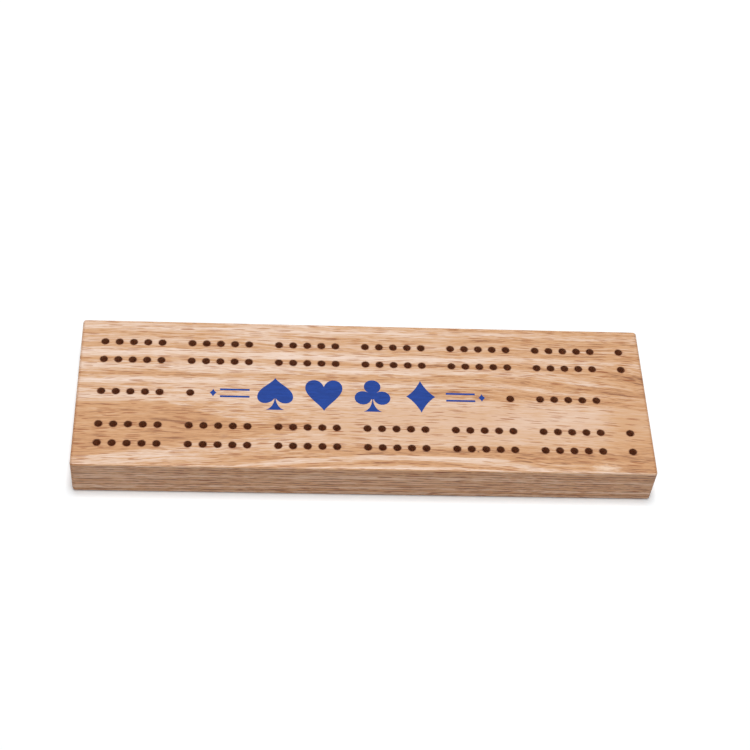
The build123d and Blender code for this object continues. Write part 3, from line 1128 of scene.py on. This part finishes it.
@dataclass(frozen=True)
class PaleWoodFinish(Finish):
    """Thin pale stock. Its grain runs along x, or along y where across is set.

    In plywood, plies is the thickness of one ply. The rings' width is in millimetres.
    """

    box: BoxPiece
    light: Triple = (228, 208, 172)
    dark: Triple = (198, 168, 124)
    across: bool = False
    plies: float = 0.0
    ring_width: float = 3.0
    wear_width: float = 0.0009
    wear_share: float = 0.35
    wear_dark: float = 0.86
    touched: float = 0.8
    ply_wave: Ripple = Ripple((0.006, 0.006, 0.002), swing=0.06)
    ply_line: Fade = (0.44, 0.56)
    ply_facing: Fade = (0.5, 0.7, 1.0, 0.0)
    ply_tint: Tint = Tint((190, 160, 126), 0.8, glaze=True)
    dust: Tint = Tint((150, 126, 98), 0.10)
    shine: Shine = Shine(0.50, 0.16, -0.06, 0.0)
    gloss: float = 0.38
    scratch_depth: float = 0.35
    relief: Pair = (0.00005, 0.7)

    def dress(self, g: Graph) -> dict[str, Signal]:
        """Lays wear, dust and, in plywood, the plies of the cut edges over the grain.

        Args:
            g: The material's graph.

        Returns:
            What the Principled shader takes, by name.
        """
        place = g.place()
        x, y, z = g.split(place)
        along = g.join(y, x, z) if self.across else place
        shades = {"Light": srgb(*self.light), "Dark": srgb(*self.dark)}
        grain = g.effect(CloseGrain(), along, Ring_Width=self.ring_width, **shades)
        touch = g.effect(Handling(), place, Amount=self.touched)
        colour = grain("Color")
        if self.plies:
            layer = (z - self.box.low[2]) / self.plies + g.noise(place, self.ply_wave)
            cross = g.step(g.math("PINGPONG", layer, 1.0), *self.ply_line)
            facing = g.split(g.add("TexCoord", output="Normal"))[2]
            colour = g.tint(cross * g.step(abs(facing), *self.ply_facing), colour, self.ply_tint)
        worn = Tint(tuple(value * self.wear_dark for value in self.dark), self.wear_share)
        colour = g.tint(self.box.wear(g, place, self.wear_width), colour, worn)
        height = grain("Height") - touch("Scratch") * self.scratch_depth
        return {
            "Base Color": g.tint(touch("Smudge"), colour, self.dust),
            "Roughness": self.shine.rough(grain("Height"), touch),
            "Normal": g.bump(height, *self.relief),
            "Specular IOR Level": self.gloss,
        }


@dataclass(frozen=True)
class MetalFinish(Finish):
    """A turned or plated metal part. Its turning lines run round x, or round z if upright."""

    bright: Triple
    dull: Triple
    amount: float
    upright: bool = False
    pitch: float = 0.0003
    touched: float = 0.8
    touch_scale: float = 2.0
    shine: Shine = Shine(0.0, 1.0, 0.10, 0.15)
    scratch_depth: float = 0.4
    relief: Pair = (0.000012, 0.6)

    def dress(self, g: Graph) -> dict[str, Signal]:
        """Lays hairline scratches over tarnish.

        Args:
            g: The material's graph.

        Returns:
            What the Principled shader takes, by name.
        """
        place = g.place()
        x, y, z = g.split(place)
        along = g.join(z, x, y) if self.upright else place
        shades = {"Bright": srgb(*self.bright), "Dull": srgb(*self.dull)}
        skin = g.effect(Tarnish(), along, Amount=self.amount, Line_Pitch=self.pitch, **shades)
        touch = g.effect(Handling(), g.scale(along, self.touch_scale), Amount=self.touched)
        height = skin("Height") - touch("Scratch") * self.scratch_depth
        return {
            "Base Color": skin("Color"),
            "Metallic": 1.0,
            "Roughness": self.shine.rough(skin("Roughness"), touch),
            "Normal": g.bump(height, *self.relief),
        }


@dataclass(frozen=True)
class FeltFinish(Finish):
    """Pressed wool felt."""

    light: Triple = (58, 98, 66)
    dark: Triple = (26, 58, 38)
    sheen: Triple = (150, 190, 150)
    sheen_weight: float = 0.35
    sheen_rough: float = 0.5
    gloss: float = 0.2
    swirl_scale: float = 900.0
    swirl_size: float = 0.0012
    lengthwise: Ripple = Ripple((0.0016, 0.00012, 0.0003), 2.0, 0.6)
    crosswise: Ripple = Ripple((0.00012, 0.0014, 0.0003), 2.0, 0.6)
    pressing: Ripple = Ripple((0.009, 0.006, 0.006), 3.0, 0.6)
    pressed_tone: float = 0.5
    fibre_tone: Fade = (0.42, 0.78, 0.0, 0.75)
    tones: Pair = (0.2, 0.95)
    plain_rough: float = 0.84
    fibre_rough: float = 0.12
    relief: Pair = (0.00016, 0.9)

    def dress(self, g: Graph) -> dict[str, Signal]:
        """Tangles fibres in the colour and the height.

        Args:
            g: The material's graph.

        Returns:
            What the Principled shader takes, by name.
        """
        place = g.place()
        swirl = g.add("TexNoise", {"Vector": place, "Scale": self.swirl_scale, "Detail": 1.0}, 1)
        turned = g.vector("SUBTRACT", swirl, (0.5, 0.5, 0.5))
        bent = g.vector("ADD", place, g.scale(turned, self.swirl_size))
        fibres = g.larger(g.noise(bent, self.lengthwise), g.noise(bent, self.crosswise))
        tone = g.noise(place, self.pressing) * self.pressed_tone + g.step(fibres, *self.fibre_tone)
        shades = (srgb(*self.dark), srgb(*self.light))
        return {
            "Base Color": g.ramp(tone, list(zip(self.tones, shades))),
            "Roughness": fibres * self.fibre_rough + self.plain_rough,
            "Normal": g.bump(fibres, *self.relief),
            "Sheen Weight": self.sheen_weight,
            "Sheen Roughness": self.sheen_rough,
            "Sheen Tint": srgb(*self.sheen),
            "Specular IOR Level": self.gloss,
        }


@dataclass(frozen=True)
class InkFinish(Finish):
    """Screen ink on oak. It sinks a little into the pores."""

    shade: Triple = (26, 64, 147)
    deep_share: float = 0.93
    pale_share: float = 1.02
    pale_lift: float = 3.0
    patches: Ripple = Ripple((0.006, 0.0012, 0.0012), 3.0, 0.65)
    patch_fade: Fade = (0.35, 0.72)
    pore_tint: Tint = Tint((20, 42, 104), 0.40)
    plain_rough: float = 0.55
    pore_rough: float = 0.15
    gloss: float = 0.2
    relief: Pair = (0.00005, 0.6)

    def dress(self, g: Graph) -> dict[str, Signal]:
        """Lets the pores and the thin places of the ink show.

        Args:
            g: The material's graph.

        Returns:
            What the Principled shader takes, by name.
        """
        place = g.place()
        figure = g.effect(OakFigure(), place, Contrast=1.0)
        thin = g.step(g.noise(place, self.patches), *self.patch_fade)
        deep = srgb(*(value * self.deep_share for value in self.shade))
        pale = srgb(*(value * self.pale_share + self.pale_lift for value in self.shade))
        colour = g.blend(thin, deep, pale)
        return {
            "Base Color": g.tint(figure("Pores"), colour, self.pore_tint),
            "Roughness": figure("Pores") * self.pore_rough + self.plain_rough,
            "Normal": g.bump(figure("Height"), *self.relief),
            "Specular IOR Level": self.gloss,
        }


# Sub-assemblies


def dress_node(node: str, finish: Finish) -> None:
    """Gives a CAD node its material.

    Args:
        node: The node's name.
        finish: The finish that it takes.
    """
    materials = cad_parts[node].data.materials
    materials.clear()
    materials.append(finish.material())
    LOG.info("dressed %s in %s", node, finish.name)


def magnet_nickel(name: str) -> MetalFinish:
    """Gives the plating of a catch magnet."""
    return MetalFinish(name, bright=(212, 208, 200), dull=(150, 146, 138), amount=0.3, upright=True)


@dataclass
class Case:
    """The oak block with its bottom panel, screws and catch magnet."""

    marks: tuple[Mark, ...] = (
        Mark(-71.0, -15.0, (2.6, 1.9, 2.0), 0.9, Tint((150, 104, 82), 0.5)),
        Mark(-61.5, -23.5, (2.4, 1.8, 2.0), 0.9, Tint((156, 110, 88), 0.42)),
        Mark(-96.0, 28.6, (0.9, 0.7, 0.8), 0.5, Tint((236, 214, 196), 0.8)),
        Mark(48.6, -29.5, (0.5, 0.4, 0.5), 0.5, Tint((92, 52, 30), 0.9)),
        Mark(104.0, -37.2, (9.0, 2.5, 2.2), 0.9, Tint((240, 212, 186), 0.75)),
        Mark(98.4, -34.0, (1.3, 1.6, 1.5), 0.9, Tint((198, 142, 96), 0.6)),
    )
    panel_shades: tuple[Triple, Triple] = ((226, 200, 160), (190, 152, 106))
    panel_ply: float = 0.00056
    brass: MetalFinish = MetalFinish("Brass, screws", (214, 176, 98), (122, 88, 46), 0.7, True)
    zinc: MetalFinish = MetalFinish("Zinc steel", (196, 198, 202), (128, 130, 132), 0.5, True)
    nickel: MetalFinish = magnet_nickel("Nickel, case magnet")

    def build(self) -> None:
        """Dresses every piece of the case."""
        dress_node("oak_block", OakFinish("Oak, drilled", BoxPiece.of("oak_block"), True, self.marks))
        box = BoxPiece.of("bottom_panel")
        panel = PaleWoodFinish("Birch ply, panel", box, *self.panel_shades, plies=self.panel_ply)
        dress_node("bottom_panel", panel)
        dress_node("panel_screws", self.brass)
        dress_node("drawer_stop_screw", self.zinc)
        dress_node("catch_magnet_box", self.nickel)


@dataclass
class Drawer:
    """The drawer with its felt lanes and catch magnet."""

    lengthwise: tuple[str, ...] = ("drawer_side_near", "drawer_side_far", "drawer_divider")
    crosswise: tuple[str, ...] = ("drawer_back",)
    liners: tuple[str, ...] = ("lane_liner_near", "lane_liner_far")
    bottom_shades: tuple[Triple, Triple] = ((228, 202, 162), (192, 154, 108))
    bottom_ply: float = 0.00047
    steel: MetalFinish = MetalFinish("Steel, brads", (176, 176, 178), (104, 98, 92), 0.6)
    nickel: MetalFinish = magnet_nickel("Nickel, drawer magnet")

    def build(self) -> None:
        """Dresses every piece of the drawer."""
        dress_node("drawer_front", OakFinish("Oak, drawer front", BoxPiece.of("drawer_front")))
        for node in (*self.lengthwise, *self.crosswise):
            across = node in self.crosswise
            dress_node(node, PaleWoodFinish(f"Poplar, {node}", BoxPiece.of(node), across=across))
        box = BoxPiece.of("drawer_bottom")
        bottom = PaleWoodFinish("Birch ply, drawer", box, *self.bottom_shades, plies=self.bottom_ply)
        dress_node("drawer_bottom", bottom)
        dress_node("drawer_brads", self.steel)
        dress_node("catch_magnet_drawer", self.nickel)
        for node in self.liners:
            dress_node(node, FeltFinish(f"Felt, {node}"))


@dataclass
class PegSet:
    """The turned pegs of the two players."""

    count: int = 3
    brass: MetalFinish = MetalFinish("Brass, pegs", (236, 200, 112), (168, 124, 62), 0.28)
    nickel: MetalFinish = MetalFinish("Nickel, pegs", (222, 220, 214), (158, 154, 148), 0.22)

    def build(self) -> None:
        """Dresses the brass and the nickel pegs."""
        for number in range(1, self.count + 1):
            dress_node(f"peg_brass_{number}", self.brass)
            dress_node(f"peg_nickel_{number}", self.nickel)


class Suit(Enum):
    """The four card suits, drawn in a box from -1 to 1."""

    SPADE = "spade"
    HEART = "heart"
    CLUB = "club"
    DIAMOND = "diamond"


def curve(points: Sequence[Point], steps: int = 10) -> list[Point]:
    """Follows cubic curves.

    Args:
        points: A start point, then two handles and an end point for each curve.
        steps: Points along each curve.

    Returns:
        The points, without the last one.
    """
    found: list[Point] = []
    for start in range(0, len(points) - 1, 3):
        axes = list(zip(*points[start : start + 4]))
        for t in (step / steps for step in range(steps)):
            s = 1.0 - t
            weights = (s**3, 3 * s * s * t, 3 * s * t * t, t**3)
            found.append(tuple(sum(w * value for w, value in zip(weights, axis)) for axis in axes))
    return found


def mirrored(side: Sequence[Point]) -> list[Point]:
    """Closes a curve whose left and right mirror each other, given the one side."""
    # A side that ends at x = 0 shares that point with the other.
    back = side if side[-1][0] else side[:-1]
    return curve([*side, *((-x, y) for x, y in reversed(back))])


def suit_outline(suit: Suit) -> list[list[Point]]:
    """Gives a suit's closed outlines.

    Args:
        suit: The suit.

    Returns:
        One or more outlines, which may overlap.
    """
    if suit is Suit.DIAMOND:
        right = [(0.0, 1.0), (0.16, 0.62), (0.44, 0.2), (0.74, 0.0), (0.44, -0.2), (0.16, -0.62)]
        return [mirrored([*right, (0.0, -1.0)])]
    if suit is Suit.HEART:
        left = [(0.0, -1.0), (-0.2, -0.6), (-0.94, -0.1), (-0.94, 0.42), (-0.94, 0.98), (-0.22, 1.16)]
        return [mirrored([*left, (0.0, 0.5)])]
    stem = mirrored([(0.0, 0.1), (0.0, -0.5), (-0.12, -0.86), (-0.46, -1.0), (-0.2, -1.0)])
    if suit is Suit.SPADE:
        lobe = [(0.0, 1.0), (0.18, 0.62), (0.9, 0.36), (0.9, -0.2), (0.9, -0.62), (0.34, -0.78)]
        return [mirrored([*lobe, (0.04, -0.3), (0.02, -0.28)]), stem]
    leaf = 0.42
    turns = [math.tau * k / 36 for k in range(36)]
    leaves = [
        [(cx + leaf * math.cos(turn), cy + leaf * math.sin(turn)) for turn in turns]
        for cx, cy in ((0.0, 0.56), (-0.48, -0.14), (0.48, -0.14))
    ]
    heart = [(-0.2, 0.3), (-0.3, -0.1), (0.0, -0.25), (0.3, -0.1), (0.2, 0.3)]
    return [*leaves, heart, stem]


@dataclass
class InkDecoration:
    """A row of card suits between ruled lines, in flat ink on the top face.

    Places and sizes are in millimetres, apart from thickness, which is how far the ink stands
    over the wood, in metres. It reaches into the wood by the share sunk of that.
    """

    middle_x: float = -7.5
    middle_y: float = -0.2
    suit_gap: float = 21.5
    suit_half: float = 8.8
    rule_reach: Pair = (43.5, 56.5)
    rule_offset: float = 1.9
    rule_half: float = 0.5
    pip_reach: float = 59.5
    pip_half: float = 2.1
    thickness: float = 0.00003
    sunk: float = 0.4
    merge: float = 0.0001
    finish: InkFinish = InkFinish("Blue ink")

    def mesh(self, name: str, outlines: Sequence[Sequence[Point]]) -> bpy.types.Mesh:
        """Makes one thin, closed sheet from flat outlines.

        Args:
            name: The mesh's name.
            outlines: Closed outlines in millimetres, which may overlap.

        Returns:
            The mesh.
        """
        points: list[Vector] = []
        loops: list[list[int]] = []
        for outline in outlines:
            turn = sum(a[0] * b[1] - b[0] * a[1] for a, b in zip(outline, [*outline[1:], outline[0]]))
            loops.append(list(range(len(points), len(points) + len(outline))))
            points += [Vector(point) for point in (outline if turn > 0 else reversed(outline))]
        flat, _, triangles, *_ = delaunay_2d_cdt(points, [], loops, 1, self.merge)
        bm = bmesh.new()
        rise = TOP + self.thickness
        corners = [bm.verts.new((point.x * MM, point.y * MM, rise)) for point in flat]
        sheet = [bm.faces.new([corners[place] for place in triangle]) for triangle in triangles]
        base = bmesh.ops.extrude_face_region(bm, geom=sheet)
        lower = [v for v in base["geom"] if isinstance(v, bmesh.types.BMVert)]
        bmesh.ops.translate(bm, verts=lower, vec=(0, 0, -self.thickness * (1 + self.sunk)))
        bmesh.ops.delete(bm, geom=[v for v in bm.verts if not v.link_faces], context="VERTS")
        bmesh.ops.recalc_face_normals(bm, faces=bm.faces[:])
        made = bpy.data.meshes.new(name)
        bm.to_mesh(made)
        bm.free()
        return made

    def lay(self, name: str, outlines: Sequence[Sequence[Point]], ink: bpy.types.Material) -> None:
        """Lays one piece of ink on the case.

        Args:
            name: The piece's name.
            outlines: Closed outlines in millimetres, which may overlap.
            ink: Its material.
        """
        mesh = self.mesh(name, outlines)
        mesh.materials.append(ink)
        piece = bpy.data.objects.new(name, mesh)
        link(piece)
        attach(piece, "case")
        LOG.info("laid %s", name)

    def drawn(self, outline: Sequence[Point], x: float, half: float) -> list[Point]:
        """Gives a suit's outline in millimetres, for a middle at x and half its height."""
        return [(x + px * half, self.middle_y + py * half) for px, py in outline]

    def build(self) -> None:
        """Lays the suits and the rules."""
        ink = self.finish.material()
        for place, suit in enumerate(Suit):
            x = self.middle_x + (place - (len(Suit) - 1) / 2) * self.suit_gap
            outlines = [self.drawn(line, x, self.suit_half) for line in suit_outline(suit)]
            self.lay(f"print_{suit.value}", outlines, ink)
        rules: list[list[Point]] = []
        for side in (-1, 1):
            x0, x1 = sorted(self.middle_x + side * reach for reach in self.rule_reach)
            for offset in (-self.rule_offset, self.rule_offset):
                low = self.middle_y + offset - self.rule_half
                high = self.middle_y + offset + self.rule_half
                rules.append([(x0, low), (x1, low), (x1, high), (x0, high)])
            pip = suit_outline(Suit.DIAMOND)[0]
            rules.append(self.drawn(pip, self.middle_x + side * self.pip_reach, self.pip_half))
        self.lay("print_rules", rules, ink)


# Studio


@dataclass
class Studio:
    """The pale floor, the soft light, the white surround and the camera, turned in radians."""

    camera_place: Triple = (-0.051578, -0.457304, 0.621389)
    camera_turn: Triple = (0.66198504, -0.07091376, -0.02885769)
    lens: float = 82.15
    sensor: float = 36.0
    nearest: float = 0.01
    floor_half: float = 2.2
    floor_drop: float = 0.00004
    floor_shade: tuple[float, ...] = (0.87, 0.90, 0.92, 1.0)
    floor_white: Fade = (0.26, 0.7, 0.14, 1.0)
    lamp_power: float = 63.0
    lamp_place: Triple = (0.0, 0.06, 2.6)
    lamp_target: Triple = (0.0, 0.0, 0.01)
    lamp_size: Pair = (0.8, 1.0)
    world_light: float = 0.1

    def build(self) -> None:
        """Sets up the whole studio."""
        self.set_camera()
        self.light_world()
        self.hang_lamp()
        self.lay_floor()
        bpy.context.scene.view_settings.view_transform = "Standard"
        LOG.info("studio ready")

    def set_camera(self) -> None:
        """Puts the camera where the photograph was taken from."""
        data = bpy.data.cameras.new("Camera")
        data.lens = self.lens
        data.sensor_width = self.sensor
        data.clip_start = self.nearest
        camera = bpy.data.objects.new("Camera", data)
        turn = Euler(self.camera_turn)
        camera.matrix_world = Matrix.LocRotScale(Vector(self.camera_place), turn, None)
        link(camera)
        bpy.context.scene.camera = camera

    def seen(self, g: Graph) -> Wire:
        """Gives 1 to rays that show a surface straight, by gloss or through glass, else 0."""
        ray = g.add("LightPath").also
        return g.larger(g.larger(ray("Is Camera Ray"), ray("Is Glossy Ray")), ray("Is Transmission Ray"))

    def light_world(self) -> None:
        """Makes the surround white to the eye and softer as a light."""
        world = bpy.data.worlds.new("Surround")
        world.use_nodes = True
        bpy.context.scene.world = world
        g = Graph(world.node_tree)
        strength = g.mix(self.seen(g), self.world_light, 1.0)
        back = g.add("Background", {"Color": WHITE, "Strength": strength})
        g.add("OutputWorld", {"Surface": back})

    def hang_lamp(self) -> None:
        """Hangs one large soft lamp over the object."""
        data = bpy.data.lights.new("Softbox", "AREA")
        data.shape = "RECTANGLE"
        data.size, data.size_y = self.lamp_size
        data.energy = self.lamp_power
        lamp = bpy.data.objects.new("Softbox", data)
        lamp.location = self.lamp_place
        aim = Vector(self.lamp_target) - Vector(self.lamp_place)
        lamp.rotation_euler = aim.to_track_quat("-Z", "Y").to_euler()
        link(lamp)

    def floor_paper(self) -> bpy.types.Material:
        """Makes the floor's paper, which is clear when it is seen from below.

        Returns:
            The material.
        """
        made = bpy.data.materials.new("Floor paper")
        made.use_nodes = True
        g = Graph(made.node_tree)
        paper = g.add("BsdfDiffuse", {"Color": self.floor_shade})
        white = g.step(g.length(g.place()), *self.floor_white)
        lift = g.add("Emission", {"Color": WHITE, "Strength": self.seen(g) * white})
        behind = g.add("NewGeometry", output="Backfacing")
        above = g.add("AddShader", (paper, lift))
        side = g.add("MixShader", (behind, above, g.add("BsdfTransparent")))
        g.add("OutputMaterial", {"Surface": side})
        return made

    def lay_floor(self) -> None:
        """Lays the floor just under the object."""
        half = self.floor_half
        mesh = bpy.data.meshes.new("Floor")
        corners = [(-half, -half, 0), (half, -half, 0), (half, half, 0), (-half, half, 0)]
        mesh.from_pydata(corners, [], [(0, 1, 2, 3)])
        mesh.materials.append(self.floor_paper())
        floor = bpy.data.objects.new("Floor", mesh)
        floor.location = (0.0, 0.0, -self.floor_drop)
        link(floor)


def main() -> None:
    """Builds the studio, then dresses the box from the outside in."""
    logging.basicConfig(level=logging.INFO, format="%(message)s")
    for part in (Studio(), Case(), InkDecoration(), Drawer(), PegSet()):
        part.build()
        LOG.info("built %s", type(part).__name__)


if __name__ == "__main__":
    main()
